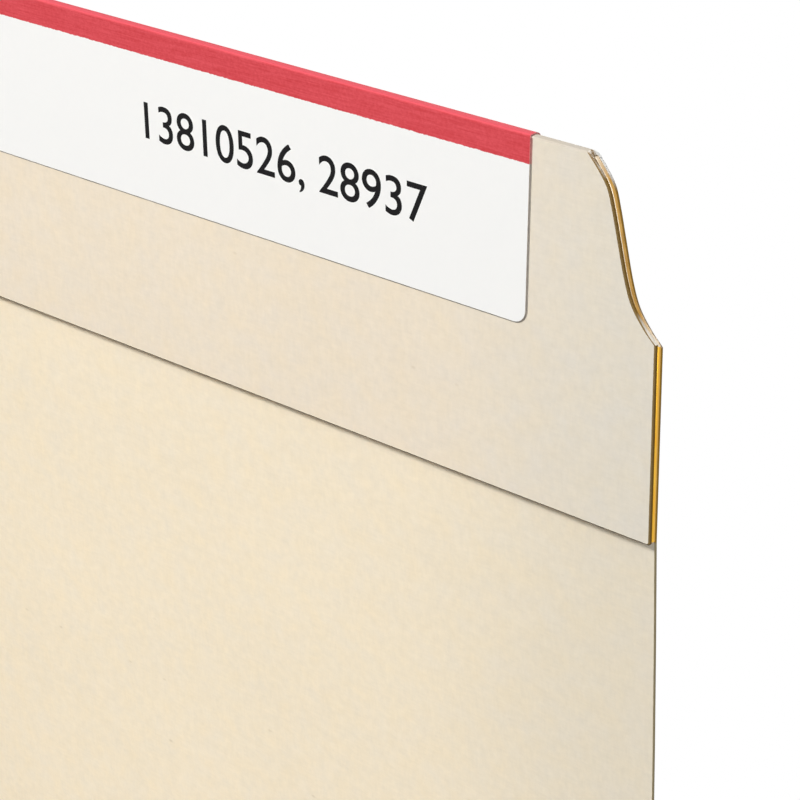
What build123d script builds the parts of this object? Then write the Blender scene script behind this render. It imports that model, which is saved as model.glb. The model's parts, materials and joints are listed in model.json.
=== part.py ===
from build123d import *
import os

# Manila file folder for letter paper, standing open: the front cover and the scored gusset lie on the
# table and the tabbed back leaf stands up. Millimetres, X along the bottom fold, -Y towards the reader.

# Sheet
folder_width = 298.45
back_height = 241.3
front_height = 225.4
card_thickness = 0.28
corner_radius = 6.0

# Bottom fold, and the gusset strips between it and the outermost score
fold_inner_radius = 0.46
strip_count = 3
strip_width = 6.35
score_depth = 0.1

# Two-ply tab in the right-hand position, folded over at its top
tab_height = 12.7
shoulder_run = 6.1
reinforcement_height = 28.25
glue_thickness = 0.44

# Label wrapped over the top of the tab
label_length = 87.3
label_margin = 4.9
label_front_drop = 14.3
label_back_drop = 1.9
label_corner_radius = 1.1
label_paper_thickness = 0.1
label_adhesive_thickness = 0.03

# Clearances
score_slit = 0.2
fold_clearance = 0.1

# S-shaped shoulder of the tab: shares of its run and rise, from its foot to the tab's corner
shoulder_shape = [(0, 0), (0.14, 0.07), (0.33, 0.2), (0.46, 0.4), (0.6, 0.71), (0.72, 0.87), (1, 1)]

# Bottom fold: a quarter turn of the card, with the back leaf set back so that it swings clear of the turn
fold_outer_radius = fold_inner_radius + card_thickness
fold_setback = ((fold_outer_radius + fold_clearance) ** 2 - fold_inner_radius ** 2) ** 0.5

# Label and tab
label_thickness = label_paper_thickness + label_adhesive_thickness
tab_length = label_length + 2 * label_margin
tab_fold_radius = card_thickness + glue_thickness / 2
tab_fold_z = back_height - tab_fold_radius
tab_foot_z = back_height - tab_height

# Left and right sides, and the ends of the tab's flat top
left_x = -folder_width / 2
right_x = folder_width / 2
tab_right_x = right_x - shoulder_run
tab_left_x = tab_right_x - tab_length
label_x = (tab_left_x + tab_right_x) / 2

# Depths, with the footprint centred on the origin
fold_y = (front_height - 2 * fold_outer_radius - label_thickness) / 2
fold_z = fold_outer_radius
score_y = fold_y - strip_count * strip_width
cover_edge_y = fold_y + fold_outer_radius - front_height
leaf_front_y = fold_y + fold_inner_radius
leaf_back_y = leaf_front_y + card_thickness
glue_front_y = leaf_front_y - glue_thickness
ply_front_y = glue_front_y - card_thickness
tab_middle_y = (ply_front_y + leaf_back_y) / 2


def upright_plate(face, back_y, thickness):
    """Plate standing on a table, drawn in X and Z, from back_y towards the reader."""
    plane = Plane(origin=(0, back_y, 0), x_dir=(1, 0, 0), z_dir=(0, -1, 0))
    return extrude(plane * face, amount=thickness)


def along_fold(face, start_x, end_x):
    """Bar along X whose section is drawn in Y and Z."""
    return extrude(Plane.YZ.offset(start_x) * face, amount=end_x - start_x)


def shoulder(foot, corner):
    """Curved edge of the tab, from its foot up to a corner of its flat top."""
    run = corner[0] - foot[0]
    rise = corner[1] - foot[1]
    points = [(foot[0] + run * u, foot[1] + rise * v) for u, v in shoulder_shape]
    return Spline(*points)


def tabbed_face(bottom_z):
    """Outline of a full-width ply that carries the tab, up to where the tab folds over."""
    right_foot = (right_x, tab_foot_z)
    left_foot = (tab_left_x - shoulder_run, tab_foot_z)
    right_corner = (tab_right_x, tab_fold_z)
    left_corner = (tab_left_x, tab_fold_z)
    round_top = (left_x + corner_radius, tab_foot_z)
    round_side = (left_x, tab_foot_z - corner_radius)
    round_centre = (left_x + corner_radius, tab_foot_z - corner_radius)
    outline = [
        Line((left_x, bottom_z), (right_x, bottom_z)),
        Line((right_x, bottom_z), right_foot),
        shoulder(right_foot, right_corner),
        Line(right_corner, left_corner),
        shoulder(left_foot, left_corner),
        Line(left_foot, round_top),
        CenterArc(round_centre, corner_radius, 90, 90),
        Line(round_side, (left_x, bottom_z)),
    ]
    return make_face(outline)


def half_turn(inner_radius, outer_radius, start_x, end_x):
    """Half ring over the top of the tab."""
    lower_half = Pos(0, -outer_radius) * Rectangle(2 * outer_radius, 2 * outer_radius)
    ring = Circle(outer_radius) - Circle(inner_radius) - lower_half
    return along_fold(Pos(tab_middle_y, tab_fold_z) * ring, start_x, end_x)


def label_leg(drop):
    """Flat part of the label below the turn, with its two free corners rounded."""
    height = tab_fold_z - back_height + drop
    leg = Pos(label_x, tab_fold_z - height / 2) * Rectangle(label_length, height)
    radius = min(label_corner_radius, 0.9 * height)
    return fillet(leg.vertices().group_by(Axis.Y)[0], radius)


def label_layer(standoff, thickness):
    """One layer of the label: front leg, half turn over the tab and short back leg."""
    front = upright_plate(label_leg(label_front_drop), ply_front_y - standoff, thickness)
    back = upright_plate(label_leg(label_back_drop), leaf_back_y + standoff + thickness, thickness)
    inner = tab_fold_radius + standoff
    turn = half_turn(inner, inner + thickness, label_x - label_length / 2, label_x + label_length / 2)
    return front + turn + back


def gusset_strip(start_y, end_y):
    """Strip of card with its upper edges pressed down along the scores."""
    shoulder_z = card_thickness - score_depth
    section = Polyline(
        (start_y, 0),
        (end_y, 0),
        (end_y, shoulder_z),
        (end_y - score_depth, card_thickness),
        (start_y + score_depth, card_thickness),
        (start_y, shoulder_z),
        close=True,
    )
    return along_fold(make_face(section), left_x, right_x)


def front_cover():
    """Front leaf beyond the outermost score, with rounded free corners."""
    depth = score_y - cover_edge_y
    sheet = Pos(0, (score_y + cover_edge_y) / 2) * Rectangle(folder_width, depth)
    sheet = fillet(sheet.vertices().group_by(Axis.Y)[0], corner_radius)
    return extrude(sheet, amount=card_thickness)


def bottom_crease():
    """Quarter turn of the card between the lying gusset and the standing leaf."""
    ring = Circle(fold_outer_radius) - Circle(fold_inner_radius)
    half = fold_outer_radius / 2
    quarter = ring & (Pos(half, -half) * Rectangle(fold_outer_radius, fold_outer_radius))
    return along_fold(Pos(fold_y, fold_z) * quarter, left_x, right_x)


def tab_reinforcement():
    """Second ply of the tab, rolled over the tab's top to meet the back leaf."""
    ply = upright_plate(tabbed_face(back_height - reinforcement_height), glue_front_y, card_thickness)
    roll = half_turn(glue_thickness / 2, tab_fold_radius, tab_left_x, tab_right_x)
    return ply + roll


os.makedirs("parts", exist_ok=True)

export_step(front_cover(), "parts/front_cover.step")

# Strips are counted from the bottom fold towards the front cover, which swings at the first score
for number in range(1, strip_count + 1):
    strip_end = fold_y - (number - 1) * strip_width
    strip_start = strip_end - strip_width
    if number == 1:
        strip_start += score_slit / 2
    if number == 2:
        strip_end -= score_slit / 2
    export_step(gusset_strip(strip_start, strip_end), f"parts/gusset_strip_{number}.step")

export_step(bottom_crease(), "parts/bottom_crease.step")

back_leaf = upright_plate(tabbed_face(fold_z + fold_setback), leaf_back_y, card_thickness)
export_step(back_leaf, "parts/back_leaf.step")

glue = upright_plate(tabbed_face(back_height - reinforcement_height), leaf_front_y, glue_thickness)
export_step(glue, "parts/tab_glue.step")

export_step(tab_reinforcement(), "parts/tab_reinforcement.step")

export_step(label_layer(0, label_adhesive_thickness), "parts/label_adhesive.step")

paper = label_layer(label_adhesive_thickness, label_paper_thickness)
export_step(paper, "parts/label_paper.step")
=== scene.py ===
import json
import math
from functools import partial

import bmesh
import bpy
from mathutils import Matrix, Vector


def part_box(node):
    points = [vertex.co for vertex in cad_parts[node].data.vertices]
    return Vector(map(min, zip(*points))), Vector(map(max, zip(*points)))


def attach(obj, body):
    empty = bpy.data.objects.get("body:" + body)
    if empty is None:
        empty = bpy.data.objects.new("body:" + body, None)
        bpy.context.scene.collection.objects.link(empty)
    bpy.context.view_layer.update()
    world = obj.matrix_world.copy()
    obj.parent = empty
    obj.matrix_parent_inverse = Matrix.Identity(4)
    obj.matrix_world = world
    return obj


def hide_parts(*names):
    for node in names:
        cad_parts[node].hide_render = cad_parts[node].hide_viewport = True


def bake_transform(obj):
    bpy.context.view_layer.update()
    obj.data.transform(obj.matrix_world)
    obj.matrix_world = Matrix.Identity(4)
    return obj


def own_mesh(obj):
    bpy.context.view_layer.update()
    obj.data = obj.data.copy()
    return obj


# Manila folder standing open: card with pressed scores and rolled folds, amber glue between the two plies
# of its tab, and a label with a colour band wrapped over the tab. Metres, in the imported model's frame.

MM = 0.001
STRIP_COUNT = 3

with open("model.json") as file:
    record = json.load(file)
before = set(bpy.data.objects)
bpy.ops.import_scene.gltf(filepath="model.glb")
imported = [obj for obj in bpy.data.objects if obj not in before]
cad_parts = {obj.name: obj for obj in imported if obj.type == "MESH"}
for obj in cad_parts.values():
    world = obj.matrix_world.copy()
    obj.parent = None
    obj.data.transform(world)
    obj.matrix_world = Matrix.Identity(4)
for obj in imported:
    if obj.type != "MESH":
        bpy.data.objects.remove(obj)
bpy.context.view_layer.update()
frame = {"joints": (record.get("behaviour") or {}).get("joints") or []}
scene = bpy.context.scene

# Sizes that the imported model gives
leaf_low, leaf_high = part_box("back_leaf")
ply_low, ply_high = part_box("tab_reinforcement")
glue_low, glue_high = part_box("tab_glue")
paper_low, paper_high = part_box("label_paper")
film_low, film_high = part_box("label_adhesive")
cover_low, cover_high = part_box("front_cover")
hinge_at = {joint["name"]: Vector(joint["pos_m"]) for joint in frame["joints"]}
fold_axis = hinge_at["back_fold"]
score_axis = hinge_at["cover_fold"]

half_width = leaf_high.x
card = leaf_high.y - leaf_low.y
tab_top = ply_high.z
tab_middle_y = (ply_low.y + leaf_high.y) / 2
tab_fold_radius = (leaf_high.y - ply_low.y) / 2
tab_fold_z = tab_top - tab_fold_radius
strip_width = fold_axis.y - score_axis.y
scores = [fold_axis.y - strip_width * number for number in range(1, STRIP_COUNT + 1)]

# Outline of the tab and the corners. The shoulder is given in shares of its run and rise, from its foot.
TAB_HEIGHT = 12.7 * MM
SHOULDER_RUN = 6.1 * MM
LABEL_MARGIN = 4.9 * MM
CORNER_RADIUS = 6.0 * MM
CORNER_STEPS = 10
SHOULDER_SHAPE = [
    (0, 0),
    (0.155, 0.072),
    (0.33, 0.184),
    (0.44, 0.325),
    (0.55, 0.54),
    (0.63, 0.7),
    (0.71, 0.825),
    (0.85, 0.92),
    (1, 1),
]
SHOULDER_STEPS = 8
SHOULDER_LEVELS = 48
tab_foot_z = tab_top - TAB_HEIGHT
tab_left_x = paper_low.x - LABEL_MARGIN

# Cut edges, and the second ply's lower lip and its reach past the leaf
EDGE_ROUND = 0.04 * MM
EDGE_STEPS = 2
PLY_EDGE_ROUND = 0.12 * MM
PLY_EDGE_STEPS = 4
PLY_CORNER = 0.16 * MM
PLY_OVERHANG = 0.06 * MM
PLY_LIP_DROP = 0.1 * MM
SHARP_ANGLE = 40
SAME_PLACE = 0.002 * MM

# Scores and folds
SCORE_HALF_WIDTH = 0.55 * MM
SCORE_CORE = 0.12 * MM
SCORE_DEPTH = 0.1 * MM
SCORE_STEP = 0.11 * MM
HINGE_REACH = 0.8 * MM
FRONT_BEND = 0.1 * MM
FRONT_BEND_LEAST = 0.03 * MM
FRONT_BEND_GROWTH = 0.5
FRONT_STEPS = 4
FOLD_STEPS = 10

# Back leaf: it bows back below the stiff second ply, lies flat on a table, and its tab is cut a little lower
LEAF_BOW = 1.3 * MM
LEAF_BOW_ROWS = 24
LEAF_FOOT_DROP = 0.45 * MM

# Glue bead on the cut edge, and its setback above the lower lip of the second ply
GLUE_BULGE = 0.07 * MM
GLUE_ROUND = 0.12 * MM
GLUE_STEPS = 4
GLUE_LIP_SETBACK = 0.06 * MM
GLUE_IN_FOLD = 0.1 * MM
GLUE_FOOT_DROP = 0.22 * MM

# Label, its adhesive film and its print
LABEL_BACK_DROP = 1.9 * MM
LABEL_BACK_ROUND = 0.9
LABEL_CORNER = 1.1 * MM
LABEL_SLANT = 0.34 * MM
LABEL_EDGE_ROUND = 0.012 * MM
LABEL_EDGE_STEPS = 1
FILM_MARGIN = 0.12 * MM
FILM_TURN_MARGIN = 0.03 * MM
RED_BAND = 2.03 * MM
RED_BLUR = 0.02 * MM
RED_RAGGED = 0.03 * MM
NUMERALS = "13810526, 28937"
NUMERAL_HEIGHT = 3.03 * MM
NUMERAL_BASELINE = 8.96 * MM
NUMERAL_RIGHT_GAP = 20.5 * MM
INK_THICKNESS = 0.004 * MM
INK_SPREAD = 0.02 * MM

# Reach of painted shade, painted light, brown edges and glue, and tears: in from the card's sides, up from
# the tab's foot and the second ply's lip, down from the tab's top, and to the front and back of the tab's
# middle
SIDE_SHADE_WIDTH = 26 * MM
LIT_EDGE_START = 3 * MM
LIT_EDGE_FULL = 6 * MM
EDGE_TONE_START = -0.2 * MM
EDGE_TONE_FULL = -0.1 * MM
BROWN_START = -0.1 * MM
BROWN_FULL = 0.3 * MM
TORN_START = 1.5 * MM
TORN_FULL = 0.7 * MM
TORN_BACK = 0.2 * MM
LIT_TOP_FRONT = 0.3 * MM
LIT_TOP_BACK = 0.2 * MM

# Height of each surface's fine relief, and how much the card's grain lightens or darkens it
CARD_RELIEF = 0.02 * MM
GLUE_RELIEF = 0.03 * MM
LABEL_RELIEF = 0.01 * MM
INK_RELIEF = 0.004 * MM
CARD_GRAIN = 0.024

# Camera, measured from the tab's top at the folder's right edge
CAMERA_OFFSET = Vector((95.834, -132.554, 60.676)) * MM
CAMERA_AZIMUTH = 42.02
CAMERA_ELEVATION = 25.39
CAMERA_ROLL = 0.894
CAMERA_LENS = 117
CAMERA_SENSOR = 36
CAMERA_NEAR = 10 * MM

# Floor and surroundings
FLOOR_REACH = 6.0
FLOOR_DROP = 0.15 * MM
FLOOR_FADE_START = 0.16
FLOOR_FADE_END = 0.34
FLOOR_SHOWN = (0.96, 0.96, 0.96, 1)
FLOOR_BOUNCE = (0.25, 0.25, 0.25, 1)
STUDIO_LIGHT = (0.97, 0.985, 1, 1)
STUDIO_STRENGTH = 0.25
STUDIO_WHITE = (1, 1, 1, 1)

# Colours of the card's faces, linear. Painted shade is multiplied in towards the sides, on faces looking up
# and along scores.
INNER_CARD = (0.933, 0.818, 0.634)
INNER_SIDE_SHADE = (0.877, 0.9, 0.94)
OUTER_CARD = (0.863, 0.758, 0.613)
OUTER_SIDE_SHADE = (0.887, 0.934, 0.99)
PLAIN_TOP = (1, 1, 1)
SHADED_TOP = (0.79, 0.775, 0.775)
SCORE_SHADE = (0.86, 0.84, 0.8)
FLECK = (0.5, 0.38, 0.22)

# Colours of the card's cut edges. Pale ones are painted light; the second ply's browns and the darkest are
# painted shade.
PLY_EDGE_FRONT = (0.23, 0.155, 0.062)
PLY_EDGE_BACK = (0.25, 0.12, 0.006)
LEAF_EDGE_FRONT = (0.52, 0.265, 0.016)
LEAF_EDGE_BACK = (0.31, 0.19, 0.06)
LIT_PLY_EDGE = (0.88, 0.81, 0.71)
LIT_LEAF_EDGE = (0.97, 0.95, 0.91)
PLAIN_EDGE = (0.43, 0.35, 0.21)
SHADED_LOWER_EDGE = (0.07, 0.055, 0.04)
TORN_CARD = (0.3, 0.19, 0.09)

# Colours of the glue; the pale one is a painted highlight
DEEP_AMBER = (1.0, 0.5, 0.03)
LIGHT_AMBER = (1.0, 0.585, 0.065)
DARK_AMBER = (0.56, 0.275, 0.012)
BROWN_GLUE = (0.54, 0.28, 0.05)
TAN_GLUE = (0.8, 0.47, 0.11)
GLUE_HIGHLIGHT = (0.93, 0.82, 0.66)

# Colours of the label; the lighter red is painted light on the band's top, and the edge greys are painted
# shade
LABEL_WHITE = (0.93, 0.93, 0.925)
LABEL_RED = (0.675, 0.07, 0.086)
LIT_TOP_RED = (0.79, 0.095, 0.124)
LABEL_EDGE_DARK = (0.56, 0.51, 0.45)
LABEL_EDGE_LIGHT = (0.66, 0.6, 0.53)
FILM_DARK = (0.28, 0.25, 0.215)
FILM_LIGHT = (0.38, 0.345, 0.3)
INK_DARK = (0.004, 0.004, 0.005)
INK_LIGHT = (0.012, 0.011, 0.012)


class Shader:
    """A node material, with short calls to add nodes and join them."""

    def __init__(self, name):
        self.material = bpy.data.materials.new(name)
        self.material.use_nodes = True
        self.tree = self.material.node_tree
        self.surface = self.tree.nodes["Principled BSDF"]

    def node(self, kind, **settings):
        """Add a node with its settings."""
        made = self.tree.nodes.new(kind)
        for name, value in settings.items():
            setattr(made, name, value)
        return made

    def join(self, value, socket):
        """Set a socket to a number, or link another socket to it."""
        if isinstance(value, bpy.types.NodeSocket):
            self.tree.links.new(value, socket)
        else:
            socket.default_value = value

    def tint(self, value, socket):
        """Set a socket to a colour of three numbers, or link another socket to it."""
        self.join(value if isinstance(value, bpy.types.NodeSocket) else (*value, 1), socket)

    def math(self, operation, *values):
        """Work out a number from others."""
        made = self.node("ShaderNodeMath", operation=operation)
        for value, socket in zip(values, made.inputs):
            self.join(value, socket)
        return made.outputs[0]

    def place(self, scale=(1, 1, 1), turn=(0, 0, 0)):
        """Object coordinates in millimetres, stretched and turned."""
        coordinates = self.node("ShaderNodeTexCoord")
        mapping = self.node("ShaderNodeMapping")
        self.join(coordinates.outputs["Object"], mapping.inputs["Vector"])
        mapping.inputs["Scale"].default_value = [factor / MM for factor in scale]
        mapping.inputs["Rotation"].default_value = [math.radians(angle) for angle in turn]
        return mapping.outputs[0]

    def axis(self, name, source="Object"):
        """One of a point's coordinates in metres, or of its normal."""
        coordinates = self.node("ShaderNodeTexCoord")
        split = self.node("ShaderNodeSeparateXYZ")
        self.join(coordinates.outputs[source], split.inputs[0])
        return split.outputs[name]

    def noise(self, place, scale, detail=3, roughness=0.55):
        """Smooth noise, which stays mostly between 0.3 and 0.7."""
        made = self.node("ShaderNodeTexNoise")
        self.join(place, made.inputs["Vector"])
        made.inputs["Scale"].default_value = scale
        made.inputs["Detail"].default_value = detail
        made.inputs["Roughness"].default_value = roughness
        return made.outputs["Fac"]

    def ramp(self, value, start, end, low=0, high=1, smooth=False):
        """Go from a low number to a high one while a value goes from start to end."""
        made = self.node("ShaderNodeMapRange")
        made.interpolation_type = "SMOOTHSTEP" if smooth else "LINEAR"
        self.join(value, made.inputs["Value"])
        for name, number in (("From Min", start), ("From Max", end), ("To Min", low), ("To Max", high)):
            made.inputs[name].default_value = number
        return made.outputs[0]

    def vary(self, noise, low=0, high=1):
        """Go from a low number to a high one over the usual span of a noise."""
        return self.ramp(noise, 0.3, 0.7, low, high)

    def mix(self, factor, first, second, blend="MIX"):
        """Go from one colour to another by a factor."""
        made = self.node("ShaderNodeMix", data_type="RGBA", blend_type=blend)
        self.join(factor, made.inputs[0])
        self.tint(first, made.inputs[6])
        self.tint(second, made.inputs[7])
        return made.outputs[2]

    def shade(self, colour, amount):
        """Multiply a colour by a number from a node."""
        made = self.node("ShaderNodeVectorMath", operation="SCALE")
        self.join(colour, made.inputs[0])
        self.join(amount, made.inputs["Scale"])
        return made.outputs[0]

    def bump(self, height, distance, strength):
        """Give the surface a fine relief."""
        made = self.node("ShaderNodeBump")
        made.inputs["Strength"].default_value = strength
        made.inputs["Distance"].default_value = distance
        self.join(height, made.inputs["Height"])
        self.join(made.outputs[0], self.surface.inputs["Normal"])

    def finish(self, colour, roughness, specular):
        """Set the surface's colour and gloss, and hand over the material."""
        self.join(colour, self.surface.inputs["Base Color"])
        self.join(roughness, self.surface.inputs["Roughness"])
        self.surface.inputs["Specular IOR Level"].default_value = specular
        return self.material


def tinted(colour, *shares):
    """A colour with each of its channels scaled."""
    return tuple(channel * share for channel, share in zip(colour, shares))


def facing_up(shader, start, end):
    """0 where a surface of the folder at rest stands upright, 1 where it faces up."""
    return shader.ramp(shader.axis("Z", "Normal"), start, end, smooth=True)


def card_flecks(shader):
    """Sparse short brown fibres caught in the card."""
    cells = shader.node("ShaderNodeTexVoronoi")
    shader.join(shader.place((0.22, 0.42, 0.42)), cells.inputs["Vector"])
    cells.inputs["Scale"].default_value = 1.0
    close = shader.ramp(cells.outputs["Distance"], 0.02, 0.07, 1, 0)
    pick = shader.node("ShaderNodeSeparateColor")
    shader.join(cells.outputs["Color"], pick.inputs[0])
    rare = shader.ramp(pick.outputs[0], 0.72, 0.9)
    return shader.math("MULTIPLY", close, rare)


def score_lines(shader):
    """1 along the pressed scores of the lying card, and 0 elsewhere."""
    depth = shader.axis("Y")
    pressed = 0
    for score_y in scores:
        away = shader.math("ABSOLUTE", shader.math("SUBTRACT", depth, score_y))
        line = shader.ramp(away, SCORE_CORE, SCORE_HALF_WIDTH, 1, 0)
        pressed = shader.math("MAXIMUM", pressed, line)
    lying = shader.ramp(shader.axis("Z"), card, 2 * card, 1, 0)
    return shader.math("MULTIPLY", pressed, lying)


def card_face(name, tone, sides, top):
    """Face of the card: cloudy formation, fibres, flecks, and painted shade at the sides, the top and the
    scores.
    """
    shader = Shader(name)
    mottle = shader.noise(shader.place(), 0.05, 2)
    drift = shader.noise(shader.place(), 0.45, 3)
    cloud = shader.noise(shader.place(), 1.3, 4, 0.6)
    fibre = shader.noise(shader.place((0.9, 4.5, 4.5)), 1.0, 3)
    cross_fibre = shader.noise(shader.place((4.0, 4.0, 1.1), (0, 28, 0)), 1.0, 3)
    fibres = shader.math("MULTIPLY", shader.math("ADD", fibre, cross_fibre), 0.5)
    warm = tinted(tone, 1.012, 1.0, 0.972)
    cool = tinted(tone, 0.988, 1.0, 1.028)
    colour = shader.mix(shader.vary(drift), cool, warm)
    coarse_grain = shader.vary(cloud, -CARD_GRAIN, CARD_GRAIN)
    fine_grain = shader.ramp(fibres, 0.35, 0.65, -CARD_GRAIN, CARD_GRAIN)
    grain = shader.math("ADD", coarse_grain, fine_grain)
    colour = shader.shade(colour, shader.math("ADD", grain, shader.vary(mottle, 0.988, 1.012)))
    # Painted shade: the face turns darker and cooler towards the card's sides
    across = shader.math("ABSOLUTE", shader.axis("X"))
    side_shade_mask = shader.ramp(across, half_width - SIDE_SHADE_WIDTH, half_width, smooth=True)
    colour = shader.mix(side_shade_mask, colour, sides, "MULTIPLY")
    # Painted shade where a face looks up, by the top colour
    colour = shader.mix(facing_up(shader, 0.05, 0.45), colour, top, "MULTIPLY")
    # Painted shade along the pressed scores
    pressed = shader.math("MULTIPLY", score_lines(shader), 0.8)
    colour = shader.mix(pressed, colour, SCORE_SHADE, "MULTIPLY")
    colour = shader.mix(shader.math("MULTIPLY", card_flecks(shader), 0.3), colour, FLECK)
    shader.bump(shader.math("ADD", fibres, shader.math("MULTIPLY", cloud, 0.6)), CARD_RELIEF, 0.6)
    return shader.finish(colour, shader.ramp(cloud, 0.2, 0.8, 0.72, 0.88), 0.2)


def second_ply_edge(shader, depth):
    """Colour of the second ply's cut edge: dark brown as painted shade, and pale as painted light where it
    faces up.
    """
    brown = shader.mix(shader.ramp(depth, ply_low.y, glue_low.y), PLY_EDGE_FRONT, PLY_EDGE_BACK)
    # Painted light: pale where the edge faces up
    return shader.mix(facing_up(shader, 0.55, 0.7), brown, LIT_PLY_EDGE)


def leaf_edge(shader, depth, height):
    """Colour of the leaf's cut edge on the tab: amber beside the glue, and pale as painted light where it
    faces up.
    """
    brown = shader.mix(shader.ramp(depth, leaf_low.y, leaf_high.y), LEAF_EDGE_FRONT, LEAF_EDGE_BACK)
    # Painted light: pale where the edge faces up, and on slanted parts of the corner above the tab's foot
    on_corner = shader.ramp(height, tab_foot_z + LIT_EDGE_START, tab_foot_z + LIT_EDGE_FULL, 0.3, 1)
    slanted = shader.math("MULTIPLY", facing_up(shader, 0.3, 0.68), on_corner)
    pale = shader.math("MAXIMUM", slanted, facing_up(shader, 0.75, 0.95))
    return shader.mix(pale, brown, LIT_LEAF_EDGE)


def frayed_corner(shader, depth, height):
    """1 in torn spots of the second ply's edge near the tab's top, and 0 elsewhere."""
    torn = shader.ramp(shader.noise(shader.place((2, 5, 2)), 1.0, 3, 0.7), 0.42, 0.56)
    corner = shader.ramp(height, tab_top - TORN_START, tab_top - TORN_FULL)
    front = shader.ramp(depth, tab_middle_y, tab_middle_y + TORN_BACK, 1, 0)
    return shader.math("MULTIPLY", shader.math("MULTIPLY", torn, corner), front)


def card_edge():
    """Cut edge of the card: brown with painted light beside the glue, plain elsewhere, painted shade facing
    down.
    """
    shader = Shader("card_cut_edge")
    layers = shader.noise(shader.place((0.8, 14, 14)), 1.0, 3)
    depth = shader.axis("Y")
    height = shader.axis("Z")
    in_glue = shader.ramp(depth, glue_low.y, glue_high.y)
    # Brown tab edges with painted light beside the glue, and plain edges elsewhere
    brown_and_lit_edge = shader.mix(in_glue, second_ply_edge(shader, depth), leaf_edge(shader, depth, height))
    beside_glue = shader.ramp(height, ply_low.z + EDGE_TONE_START, ply_low.z + EDGE_TONE_FULL)
    colour = shader.mix(beside_glue, PLAIN_EDGE, brown_and_lit_edge)
    # Painted shade: dark where a cut edge faces down, as on the second ply's lower lip
    colour = shader.mix(facing_up(shader, -0.05, -0.5), colour, SHADED_LOWER_EDGE)
    colour = shader.mix(frayed_corner(shader, depth, height), colour, TORN_CARD)
    colour = shader.shade(colour, shader.vary(layers, 0.87, 1.1))
    shader.bump(layers, CARD_RELIEF, 0.7)
    return shader.finish(colour, 0.8, 0.1)


def amber_glue():
    """Dried glue: glossy amber on the upright edge, darker towards the leaf, and a painted pale highlight on
    the tab and on top.
    """
    shader = Shader("amber_glue_film")
    flow = shader.noise(shader.place((1, 3, 1)), 0.9, 3)
    depth = shader.ramp(shader.axis("Y"), glue_low.y, glue_high.y)
    bright = shader.mix(shader.vary(flow), DEEP_AMBER, LIGHT_AMBER)
    amber = shader.mix(shader.ramp(depth, 0.45, 0.95), bright, DARK_AMBER)
    on_tab = shader.ramp(shader.axis("Z"), tab_foot_z + BROWN_START, tab_foot_z + BROWN_FULL)
    brown = shader.mix(shader.ramp(flow, 0.35, 0.65), BROWN_GLUE, TAN_GLUE)
    amber = shader.mix(on_tab, amber, brown)
    # Painted highlight: a broken pale line near the glue's front on the tab, and pale where the glue faces
    # up
    breaks = shader.ramp(shader.noise(shader.place((3, 3, 3)), 1.0, 3), 0.3, 0.42)
    line = shader.math("MULTIPLY", shader.ramp(depth, 0.14, 0.3, 0.8, 0), breaks)
    highlight_mask = shader.math("MAXIMUM", shader.math("MULTIPLY", line, on_tab), facing_up(shader, 0.55, 0.75))
    colour = shader.mix(highlight_mask, amber, GLUE_HIGHLIGHT)
    shader.bump(flow, GLUE_RELIEF, 0.6)
    shader.surface.inputs["Metallic"].default_value = 0.6
    return shader.finish(colour, shader.vary(flow, 0.3, 0.45), 0.3)


def red_print(shader, height):
    """1 above the lower edge of the label's red band, and 0 below it."""
    band_z = tab_top - RED_BAND
    return shader.ramp(height, band_z - RED_BLUR, band_z + RED_BLUR)


def red_band(shader, streak):
    """Colour of the printed band, with its streaks, and with painted light on its top over the front of the
    tab's turn.
    """
    screen = shader.noise(shader.place((5, 5, 5)), 1.0, 2)
    stroke = shader.math("ADD", shader.math("MULTIPLY", streak, 0.65), shader.math("MULTIPLY", screen, 0.35))
    dark = tinted(LABEL_RED, 0.88, 0.7, 0.7)
    light = tinted(LABEL_RED, 1.08, 1.3, 1.3)
    red = shader.mix(shader.ramp(stroke, 0.35, 0.65), dark, light)
    # Painted light: the band's top is lighter where it faces up, fading out towards the back of the turn
    on_front = shader.ramp(shader.axis("Y"), tab_middle_y - LIT_TOP_FRONT, tab_middle_y + LIT_TOP_BACK, 1, 0)
    lit_top = shader.math("MULTIPLY", facing_up(shader, 0.5, 0.85), on_front)
    return shader.mix(lit_top, red, LIT_TOP_RED)


def label_print():
    """Label paper, white below and printed red along its top, where the print's edge is a little ragged."""
    shader = Shader("label_paper_print")
    grain = shader.noise(shader.place(), 3.0, 3)
    white = shader.mix(shader.vary(grain), tinted(LABEL_WHITE, 0.993, 0.993, 0.993), LABEL_WHITE)
    streak = shader.noise(shader.place((0.35, 9, 9)), 1.0, 4, 0.65)
    ragged = shader.vary(shader.noise(shader.place((4, 1, 1)), 1.0, 3, 0.6), -RED_RAGGED, RED_RAGGED)
    height = shader.math("ADD", shader.axis("Z"), ragged)
    colour = shader.mix(red_print(shader, height), white, red_band(shader, streak))
    shader.bump(shader.math("ADD", grain, shader.math("MULTIPLY", streak, 0.4)), LABEL_RELIEF, 0.4)
    return shader.finish(colour, shader.ramp(grain, 0.2, 0.8, 0.55, 0.68), 0.2)


def label_edge():
    """Cut edge of the label, grey as painted shade and reddish along the band."""
    shader = Shader("label_cut_edge")
    grain = shader.noise(shader.place((3, 3, 3)), 1.0, 3)
    # Painted shade: the label's cut edge is grey
    colour = shader.mix(shader.vary(grain), LABEL_EDGE_DARK, LABEL_EDGE_LIGHT)
    reddish = shader.math("MULTIPLY", red_print(shader, shader.axis("Z")), 0.6)
    colour = shader.mix(reddish, colour, LABEL_RED)
    shader.bump(grain, LABEL_RELIEF, 0.5)
    return shader.finish(colour, 0.75, 0.2)


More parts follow.
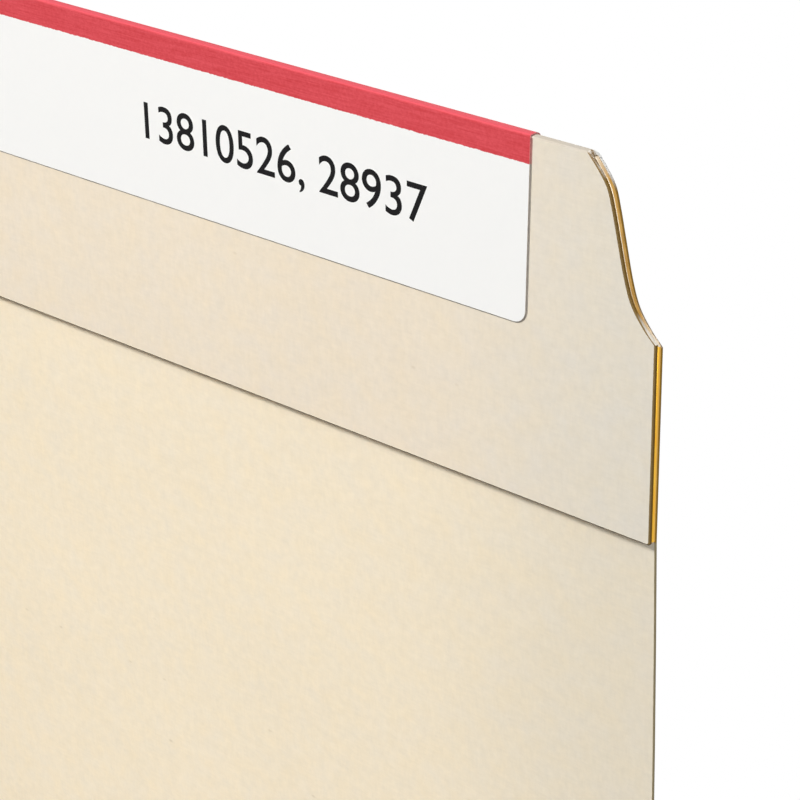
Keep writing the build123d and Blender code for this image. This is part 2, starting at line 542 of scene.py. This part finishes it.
def label_film():
    """Adhesive film that shows as a thin line around the label, grey and reddish along the band."""
    shader = Shader("label_adhesive_film")
    grain = shader.noise(shader.place((2, 2, 2)), 1.0, 3)
    colour = shader.mix(shader.vary(grain), FILM_DARK, FILM_LIGHT)
    reddish = shader.math("MULTIPLY", red_print(shader, shader.axis("Z")), 0.35)
    colour = shader.mix(reddish, colour, LABEL_RED)
    shader.bump(grain, LABEL_RELIEF, 0.5)
    return shader.finish(colour, shader.vary(grain, 0.45, 0.6), 0.25)


def printed_ink():
    """Black ink, a little uneven."""
    shader = Shader("printed_ink")
    grain = shader.noise(shader.place((6, 6, 6)), 1.0, 3)
    colour = shader.mix(shader.vary(grain), INK_DARK, INK_LIGHT)
    shader.bump(grain, INK_RELIEF, 0.5)
    return shader.finish(colour, shader.vary(grain, 0.55, 0.7), 0.1)


def smooth_curve(points, steps):
    """Points along a smooth curve through the given ones."""
    points = [Vector(point) for point in points]
    chain = [2 * points[0] - points[1], *points, 2 * points[-1] - points[-2]]
    curve = []
    for before, start, end, after in zip(chain, chain[1:], chain[2:], chain[3:]):
        slope = end - before
        bend = 2 * before - 5 * start + 4 * end - after
        twist = 3 * start - before - 3 * end + after
        for step in range(steps):
            t = step / steps
            curve.append(start + 0.5 * (slope * t + bend * t**2 + twist * t**3))
    return [*curve, points[-1]]


def arc(centre, radius, start, end, steps):
    """Points along an arc, with angles in degrees."""
    angles = [math.radians(start + (end - start) * step / steps) for step in range(steps + 1)]
    return [Vector((centre[0] + radius * math.cos(a), centre[1] + radius * math.sin(a))) for a in angles]


def shoulder_share(height):
    """Share of the shoulder's run at a share of its rise."""
    curve = smooth_curve(SHOULDER_SHAPE, SHOULDER_STEPS)
    for low, high in zip(curve, curve[1:]):
        if height <= high.y:
            return low.x + (high.x - low.x) * (height - low.y) / (high.y - low.y)
    return 1.0


def tab_sides(z, grow=0.0, drop=0.0):
    """Right and left ends of the tab at a height, on a ply whose tab has its foot cut lower by a drop."""
    run = SHOULDER_RUN * shoulder_share((z - tab_foot_z + drop) / (TAB_HEIGHT + drop))
    return half_width - run + grow, tab_left_x - SHOULDER_RUN + run - grow


def tab_outline(bottom_z, top_z, grow=0.0, corner=0.0, drop=0.0):
    """Outline of a full-width ply in X and Z, from the tab's right corner to its left one and around."""
    side_x = half_width + grow
    foot_z = tab_foot_z - drop
    levels = [foot_z + (top_z - foot_z) * step / SHOULDER_LEVELS for step in range(SHOULDER_LEVELS + 1)]
    right = [Vector((tab_sides(z, grow, drop)[0], z)) for z in levels]
    left = [Vector((tab_sides(z, grow, drop)[1], z)) for z in levels]
    round_centre = (CORNER_RADIUS - side_x, foot_z - CORNER_RADIUS)
    outline = [right[-1], *reversed(left)]
    outline += arc(round_centre, CORNER_RADIUS, 90, 180, CORNER_STEPS)
    if corner:
        outline += arc((corner - side_x, bottom_z + corner), corner, 180, 270, CORNER_STEPS)
        outline += arc((side_x - corner, bottom_z + corner), corner, 270, 360, CORNER_STEPS)
    else:
        outline += [Vector((-side_x, bottom_z)), Vector((side_x, bottom_z))]
    outline += right[:-1]
    return outline


def near(value, target):
    """Whether two lengths are the same, but for rounding."""
    return abs(value - target) < SAME_PLACE


def upright(outline, y):
    """Outline in X and Z as points at a depth."""
    return [Vector((x, y, z)) for x, z in outline]


def add_object(name, data):
    """Object in the scene for a mesh, a text, a lamp or a camera."""
    made = bpy.data.objects.new(name, data)
    scene.collection.objects.link(made)
    return made


def border_pairs(faces):
    """Pairs of points along a sheet's border, where an edge belongs to one face alone."""
    used = {}
    for face in faces:
        for pair in zip(face, [*face[1:], face[0]]):
            used.setdefault(frozenset(pair), []).append(pair)
    return [pairs[0] for pairs in used.values() if len(pairs) == 1]


def smooth_sheet(made):
    """Smooth shading, apart from the flat faces of many corners and from sharp turns."""
    for face in made.faces:
        face.smooth = len(face.verts) <= 4
    for edge in made.edges:
        flat = any(len(face.verts) > 4 for face in edge.link_faces)
        edge.smooth = not flat and edge.calc_face_angle(0) < math.radians(SHARP_ANGLE)


def thicken(name, skins, faces, materials, seam=None, edge_round=0.0, segments=EDGE_STEPS):
    """Closed sheet from an outer skin to an inner one. Cut edges are rounded, except where seam says not."""
    made = bmesh.new()
    skins = [[made.verts.new(point) for point in skin] for skin in skins]
    for side, skin in enumerate((skins[0], skins[-1])):
        for face in faces:
            made.faces.new([skin[index] for index in face]).material_index = side
    border = border_pairs(faces)
    for outer, inner in zip(skins, skins[1:]):
        for first, second in border:
            made.faces.new([outer[second], outer[first], inner[first], inner[second]]).material_index = 2
    bmesh.ops.recalc_face_normals(made, faces=made.faces)
    rounded = []
    for first, second in border:
        for skin in (skins[0], skins[-1]):
            middle = (skin[first].co + skin[second].co) / 2
            if edge_round and not (seam and seam(middle)):
                rounded.append(made.edges.get((skin[first], skin[second])))
    if rounded:
        bmesh.ops.bevel(
            made,
            geom=rounded,
            offset=edge_round,
            segments=segments,
            profile=0.5,
            affect="EDGES",
            clamp_overlap=True,
            material=2,
        )
    smooth_sheet(made)
    mesh = bpy.data.meshes.new(name)
    made.to_mesh(mesh)
    made.free()
    for material in materials:
        mesh.materials.append(material)
    return add_object(name, mesh)


def front_bend(standoff):
    """Radius of the crease along the front of the tab's top, for a skin at a standoff from the card."""
    return max(FRONT_BEND + FRONT_BEND_GROWTH * standoff, FRONT_BEND_LEAST)


def front_top(standoff):
    """Height where a skin's front starts to bend over the tab."""
    return tab_top + standoff - front_bend(standoff)


def turned_rows(standoff, columns):
    """Rows of two points over the top of the tab, from the front to the back, without the first row."""
    radius = front_bend(standoff)
    front_y = ply_low.y - standoff
    path = arc((front_y + radius, front_top(standoff)), radius, 180, 90, FRONT_STEPS)[1:]
    path += arc((tab_middle_y, tab_fold_z), tab_fold_radius + standoff, 90, 0, FOLD_STEPS)
    return [Vector((x, y, z)) for y, z in path for x in columns(min(z, tab_top))]


def turned_faces(first_row, next_index):
    """Faces over the top of the tab, from a row of two points on, and the last row's points."""
    faces = []
    row = first_row
    for step in range(FRONT_STEPS + FOLD_STEPS + 1):
        following = (next_index + 2 * step, next_index + 2 * step + 1)
        faces.append((row[0], row[1], following[1], following[0]))
        row = following
    return faces, row


def leaf_bow(z):
    """How far the leaf bows back: not at the second ply or the fold, most at a third of the way down."""
    share = (ply_low.z - z) / (ply_low.z - fold_axis.z)
    peak = 4 / 27
    return LEAF_BOW / peak * share * (1 - share) ** 2


def make_back_leaf(materials):
    """Upright leaf with the tab, from the bottom fold to where the card turns over."""
    outline = tab_outline(ply_low.z, tab_fold_z, drop=LEAF_FOOT_DROP)
    reach = fold_axis.z - ply_low.z
    heights = [ply_low.z + reach * (step + 1) / LEAF_BOW_ROWS for step in range(LEAF_BOW_ROWS)]
    skins = []
    for y in (leaf_high.y, leaf_low.y):
        bowed = [Vector((x, y + leaf_bow(z), z)) for z in heights for x in (half_width, -half_width)]
        skins.append(upright(outline, y) + bowed)
    right_end = len(outline) - SHOULDER_LEVELS - 1
    rows = [(right_end, right_end - 1)]
    rows += [(index, index + 1) for index in range(len(outline), len(skins[0]), 2)]
    faces = [tuple(range(len(outline)))]
    faces += [(*upper, *reversed(lower)) for upper, lower in zip(rows, rows[1:])]

    def seam(point):
        return near(point.z, fold_axis.z) or near(point.z, tab_fold_z)

    piece = thicken("back_leaf_card", skins, faces, materials, seam, EDGE_ROUND)
    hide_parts("back_leaf")
    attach(piece, "back")
    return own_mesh(piece)


def edge_profile(thickness, radius, steps):
    """Depth into a sheet and inset of its cut edge, from its rounded outer skin to its inner one."""
    turn = arc((radius, radius), radius, 180, 270, steps)
    return [*turn, Vector((thickness, 0))]


def make_tab_reinforcement(materials):
    """Second ply in front of the leaf, and the card's turn over the tab's top."""
    skins = []
    for depth, inset in edge_profile(card, PLY_EDGE_ROUND, PLY_EDGE_STEPS):
        grow = PLY_OVERHANG - inset
        outline = tab_outline(ply_low.z - PLY_LIP_DROP + inset, front_top(-depth), grow, PLY_CORNER)
        turned = turned_rows(-depth, partial(tab_sides, grow=grow))
        skins.append(upright(outline, ply_low.y + depth) + turned)
    turn, _ = turned_faces((0, 1), len(outline))
    piece = thicken("tab_second_ply", skins, [tuple(range(len(outline))), *turn], materials)
    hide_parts("tab_reinforcement")
    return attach(piece, "back")


def make_tab_glue(material):
    """Glue between the plies, swelling a little out of the cut edge."""
    lip_z = ply_low.z + GLUE_LIP_SETBACK
    outline = tab_outline(lip_z, glue_high.z + GLUE_IN_FOLD, GLUE_BULGE, drop=GLUE_FOOT_DROP)
    skins = [upright(outline, glue_high.y), upright(outline, glue_low.y)]
    faces = [tuple(range(len(outline)))]
    piece = thicken("tab_glue_film", skins, faces, [material] * 3, None, GLUE_ROUND, GLUE_STEPS)
    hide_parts("tab_glue")
    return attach(piece, "back")


def free_corners(left_x, right_x, low_z, radius):
    """Lower edge of a leg of the label, from its left side to its right, with rounded corners."""
    left = arc((left_x + radius, low_z + radius), radius, 180, 270, CORNER_STEPS)
    return left + arc((right_x - radius, low_z + radius), radius, 270, 360, CORNER_STEPS)


def label_layer(name, low, high, margin, turn_margin, inner_standoff, materials):
    """One layer of the label: front leg, turn over the tab and short back leg, with rounded free corners."""
    left_x = low.x - margin
    right_x = high.x + margin
    radius = LABEL_CORNER + margin
    front = free_corners(left_x, right_x - LABEL_SLANT, low.z - margin, radius)
    back_z = tab_top - LABEL_BACK_DROP - margin
    back_radius = min(radius, LABEL_BACK_ROUND * (tab_fold_z - back_z))
    back = free_corners(left_x, right_x, back_z, back_radius)

    def columns(z):
        return high.x + turn_margin, low.x - turn_margin

    skins = []
    for standoff in (ply_low.y - low.y, inner_standoff):
        start = [Vector((x, front_top(standoff))) for x in (right_x, left_x)]
        skin = upright([*start, *front], ply_low.y - standoff) + turned_rows(standoff, columns)
        skins.append(skin + upright(back, leaf_high.y + standoff))
    front_count = len(front) + 2
    turn, last_row = turned_faces((0, 1), front_count)
    back_start = last_row[1] + 1
    back_face = (*last_row, *range(back_start, back_start + len(back)))
    faces = [tuple(range(front_count)), *turn, back_face]
    return thicken(name, skins, faces, materials, None, LABEL_EDGE_ROUND, LABEL_EDGE_STEPS)


def make_label(print_material, edge_material, film_material):
    """Label paper over its adhesive film."""
    film_materials = [film_material] * 3
    film = label_layer("label_film", film_low, film_high, FILM_MARGIN, FILM_TURN_MARGIN, 0, film_materials)
    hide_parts("label_adhesive")
    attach(film, "back")
    film_thickness = ply_low.y - film_low.y
    materials = [print_material, print_material, edge_material]
    paper = label_layer("label_sheet", paper_low, paper_high, 0, 0, film_thickness, materials)
    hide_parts("label_paper")
    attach(paper, "back")


def text_mesh(text):
    """Mesh of a text at its present size."""
    bpy.context.view_layer.update()
    return bpy.data.meshes.new_from_object(text.evaluated_get(bpy.context.evaluated_depsgraph_get()))


def make_numerals(material):
    """Plain numerals printed on the label."""
    curve = bpy.data.curves.new("label_numerals", "FONT")
    curve.body = NUMERALS
    curve.align_x = "RIGHT"
    text = add_object("numeral_text", curve)
    unit_mesh = text_mesh(text)
    unit_height = max(vertex.co.y for vertex in unit_mesh.vertices)
    bpy.data.meshes.remove(unit_mesh)
    curve.size = NUMERAL_HEIGHT / unit_height
    curve.extrude = INK_THICKNESS / 2
    curve.offset = INK_SPREAD
    mesh = text_mesh(text)
    bpy.data.objects.remove(text)
    stand = Matrix.Rotation(math.radians(90), 4, "X")
    corner = Vector((half_width - NUMERAL_RIGHT_GAP, paper_low.y, tab_top - NUMERAL_BASELINE))
    mesh.transform(Matrix.Translation(corner) @ stand)
    mesh.materials.clear()
    mesh.materials.append(material)
    piece = add_object("label_numerals", mesh)
    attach(piece, "back")


def score_drop(y):
    """How far the card's upper face is pressed down at a depth, by the scores near it."""
    drop = 0.0
    for score_y in scores:
        away = abs(y - score_y) / SCORE_HALF_WIDTH
        if away < 1:
            drop += SCORE_DEPTH * 0.5 * (1 + math.cos(math.pi * away))
    return drop


def score_rows(start_y, end_y):
    """Depths from start to end, close together where a score presses the card."""
    count = max(1, round(abs(end_y - start_y) / SCORE_STEP))
    every = [start_y + (end_y - start_y) * index / count for index in range(count + 1)]
    reach = SCORE_HALF_WIDTH + SCORE_STEP

    def kept(index, y):
        return index in (0, count) or any(abs(y - score_y) < reach for score_y in scores)

    return [y for index, y in enumerate(every) if kept(index, y)]


def lying_rows(depths):
    """Lower and upper points of a lying strip, a right and a left one for each depth."""
    lower = []
    upper = []
    for y in depths:
        top = card - score_drop(y)
        lower += [Vector((half_width, y, 0)), Vector((-half_width, y, 0))]
        upper += [Vector((half_width, y, top)), Vector((-half_width, y, top))]
    return lower, upper


def row_faces(count):
    """Faces between rows of two points."""
    return [(2 * i, 2 * i + 1, 2 * i + 3, 2 * i + 2) for i in range(count - 1)]


def make_strip(node, start_y, end_y, materials):
    """Gusset strip between two depths."""
    depths = score_rows(start_y, end_y)
    lower, upper = lying_rows(depths)

    def seam(point):
        return near(point.y, start_y) or near(point.y, end_y)

    piece = thicken(f"{node}_card", [lower, upper], row_faces(len(depths)), materials, seam, EDGE_ROUND)
    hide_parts(node)
    return piece


def make_gusset(materials):
    """Strips between the bottom fold and the outermost score. The first one stays in place, and the others
    go with the cover.
    """
    ends = [fold_axis.y, score_axis.y - HINGE_REACH, *scores[1:]]
    for number, (start_y, end_y) in enumerate(zip(ends, ends[1:]), 1):
        strip = make_strip(f"gusset_strip_{number}", start_y, end_y, materials)
        if number == 1:
            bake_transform(strip)
        else:
            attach(strip, "cover")


def make_front_cover(materials):
    """Front leaf, from the outermost score to its free edge with rounded corners."""
    pressed_y = cover_high.y - SCORE_HALF_WIDTH - SCORE_STEP
    depths = score_rows(cover_high.y, pressed_y)
    lower, upper = lying_rows(depths)
    last = len(lower) - 2
    corner_x = half_width - CORNER_RADIUS
    corner_y = cover_low.y + CORNER_RADIUS
    edge = arc((-corner_x, corner_y), CORNER_RADIUS, 180, 270, CORNER_STEPS)
    edge += arc((corner_x, corner_y), CORNER_RADIUS, 270, 360, CORNER_STEPS)
    sheet = (last, last + 1, *range(len(lower), len(lower) + len(edge)))
    lower += [Vector((x, y, 0)) for x, y in edge]
    upper += [Vector((x, y, card)) for x, y in edge]

    def seam(point):
        return near(point.y, cover_high.y)

    faces = [*row_faces(len(depths)), sheet]
    piece = thicken("front_cover_card", [lower, upper], faces, materials, seam, EDGE_ROUND)
    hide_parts("front_cover")
    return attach(piece, "cover")


def make_bottom_crease(materials):
    """Rolled bottom fold, which stays in place."""
    inner_radius = leaf_low.y - fold_axis.y
    outer_radius = leaf_high.y - fold_axis.y
    skins = []
    for radius in (outer_radius, inner_radius):
        section = arc((fold_axis.y, fold_axis.z), radius, -90, 0, FOLD_STEPS)
        skins.append([Vector((x, y, z)) for y, z in section for x in (half_width, -half_width)])

    def seam(point):
        return near(point.y, fold_axis.y) or near(point.z, fold_axis.z)

    piece = thicken("bottom_fold_card", skins, row_faces(FOLD_STEPS + 1), materials, seam, EDGE_ROUND)
    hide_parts("bottom_crease")
    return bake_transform(piece)


def seen_directly(tree):
    """1 for rays from the camera, or through gloss or glass, and 0 for light that bounces."""
    path = tree.nodes.new("ShaderNodeLightPath")
    total = path.outputs["Is Camera Ray"]
    for name in ("Is Glossy Ray", "Is Transmission Ray"):
        both = tree.nodes.new("ShaderNodeMath")
        both.operation = "MAXIMUM"
        tree.links.new(total, both.inputs[0])
        tree.links.new(path.outputs[name], both.inputs[1])
        total = both.outputs[0]
    return total


def mix_shaders(tree, factor, first, second):
    """Go from one shader to another by a factor."""
    made = tree.nodes.new("ShaderNodeMixShader")
    for source, socket in zip((factor, first, second), made.inputs):
        tree.links.new(source, socket)
    return made.outputs[0]


def coloured(tree, kind, colour):
    """Shader of a kind with a colour."""
    made = tree.nodes.new(kind)
    made.inputs["Color"].default_value = colour
    return made


def floor_paper():
    """Pale paper that fades to white away from the folder, and gives back less light than it shows."""
    material = bpy.data.materials.new("floor_paper")
    material.use_nodes = True
    tree = material.node_tree
    tree.nodes.clear()
    bounce = coloured(tree, "ShaderNodeBsdfDiffuse", FLOOR_BOUNCE)
    shown = coloured(tree, "ShaderNodeBsdfDiffuse", FLOOR_SHOWN)
    white = coloured(tree, "ShaderNodeEmission", STUDIO_WHITE)
    coordinates = tree.nodes.new("ShaderNodeTexCoord")
    distance = tree.nodes.new("ShaderNodeVectorMath")
    distance.operation = "LENGTH"
    tree.links.new(coordinates.outputs["Object"], distance.inputs[0])
    fade = tree.nodes.new("ShaderNodeMapRange")
    fade.interpolation_type = "SMOOTHSTEP"
    fade.inputs["From Min"].default_value = FLOOR_FADE_START
    fade.inputs["From Max"].default_value = FLOOR_FADE_END
    tree.links.new(distance.outputs["Value"], fade.inputs["Value"])
    backdrop = mix_shaders(tree, fade.outputs[0], shown.outputs[0], white.outputs[0])
    output = tree.nodes.new("ShaderNodeOutputMaterial")
    choice = mix_shaders(tree, seen_directly(tree), bounce.outputs[0], backdrop)
    tree.links.new(choice, output.inputs["Surface"])
    return material


def make_floor():
    """Wide floor just below the folder."""
    made = bmesh.new()
    corners = [(-1, -1), (1, -1), (1, 1), (-1, 1)]
    made.faces.new([made.verts.new((x * FLOOR_REACH, y * FLOOR_REACH, 0)) for x, y in corners])
    mesh = bpy.data.meshes.new("floor")
    made.to_mesh(mesh)
    made.free()
    mesh.materials.append(floor_paper())
    floor = add_object("floor", mesh)
    floor.location.z = -FLOOR_DROP


def make_world():
    """White surroundings, with a lower level for the light they give."""
    world = bpy.data.worlds.new("studio")
    world.use_nodes = True
    tree = world.node_tree
    tree.nodes.clear()
    light = coloured(tree, "ShaderNodeBackground", STUDIO_LIGHT)
    light.inputs["Strength"].default_value = STUDIO_STRENGTH
    white = coloured(tree, "ShaderNodeBackground", STUDIO_WHITE)
    output = tree.nodes.new("ShaderNodeOutputWorld")
    choice = mix_shaders(tree, seen_directly(tree), light.outputs[0], white.outputs[0])
    tree.links.new(choice, output.inputs["Surface"])
    scene.world = world


def outwards(azimuth, elevation):
    """Direction at an azimuth from the folder's front, positive to the right, and an elevation."""
    turn = math.radians(azimuth)
    rise = math.radians(elevation)
    return Vector((math.sin(turn) * math.cos(rise), -math.cos(turn) * math.cos(rise), math.sin(rise)))


def make_lamp(name, target, azimuth, elevation, distance, size, power, colour, spread=180):
    """Soft square lamp that looks at a target, with its light inside an angle."""
    lamp = bpy.data.lights.new(name, "AREA")
    lamp.shape = "SQUARE"
    lamp.size = size
    lamp.spread = math.radians(spread)
    lamp.energy = power
    lamp.color = colour
    out = outwards(azimuth, elevation)
    holder = add_object(name, lamp)
    holder.location = target + out * distance
    holder.rotation_euler = out.to_track_quat("Z", "Y").to_euler()


def make_lamps():
    """Key lamp before the tab, fill lamp at the right and a low lamp behind."""
    folder_middle = Vector((0, 0, tab_top / 2))
    tab_middle = Vector(((paper_low.x + paper_high.x) / 2, leaf_low.y, tab_top))
    make_lamp(
        "key",
        tab_middle,
        azimuth=-12,
        elevation=45,
        distance=0.75,
        size=0.177,
        power=1.29,
        colour=(1, 0.99, 0.972),
        spread=90,
    )
    make_lamp(
        "fill",
        folder_middle,
        azimuth=72,
        elevation=20,
        distance=1.5,
        size=0.5,
        power=6.5,
        colour=(0.94, 0.975, 1),
    )
    make_lamp(
        "back",
        folder_middle,
        azimuth=-165,
        elevation=6,
        distance=1.5,
        size=0.5,
        power=13,
        colour=(1, 0.985, 0.965),
    )


def make_camera():
    """Close-up of the tab's right end, as the photograph is taken."""
    back = outwards(CAMERA_AZIMUTH, CAMERA_ELEVATION)
    right = outwards(CAMERA_AZIMUTH + 90, 0)
    level = Matrix((right, back.cross(right), back)).transposed()
    rolled = level @ Matrix.Rotation(math.radians(-CAMERA_ROLL), 3, "Z")
    lens = bpy.data.cameras.new("camera")
    lens.lens = CAMERA_LENS
    lens.sensor_width = CAMERA_SENSOR
    lens.clip_start = CAMERA_NEAR
    camera = add_object("camera", lens)
    place = Vector((half_width, ply_low.y, tab_top)) + CAMERA_OFFSET
    camera.matrix_world = Matrix.Translation(place) @ rolled.to_4x4()
    scene.camera = camera


inner_face = card_face("manila_inner_face", INNER_CARD, INNER_SIDE_SHADE, PLAIN_TOP)
outer_face = card_face("manila_outer_face", OUTER_CARD, OUTER_SIDE_SHADE, SHADED_TOP)
sheet_materials = [outer_face, inner_face, card_edge()]

make_back_leaf(sheet_materials)
make_tab_reinforcement(sheet_materials)
make_tab_glue(amber_glue())
make_label(label_print(), label_edge(), label_film())
make_numerals(printed_ink())
make_gusset(sheet_materials)
make_front_cover(sheet_materials)
make_bottom_crease(sheet_materials)

make_floor()
make_world()
make_lamps()
make_camera()
scene.view_settings.view_transform = "Standard"
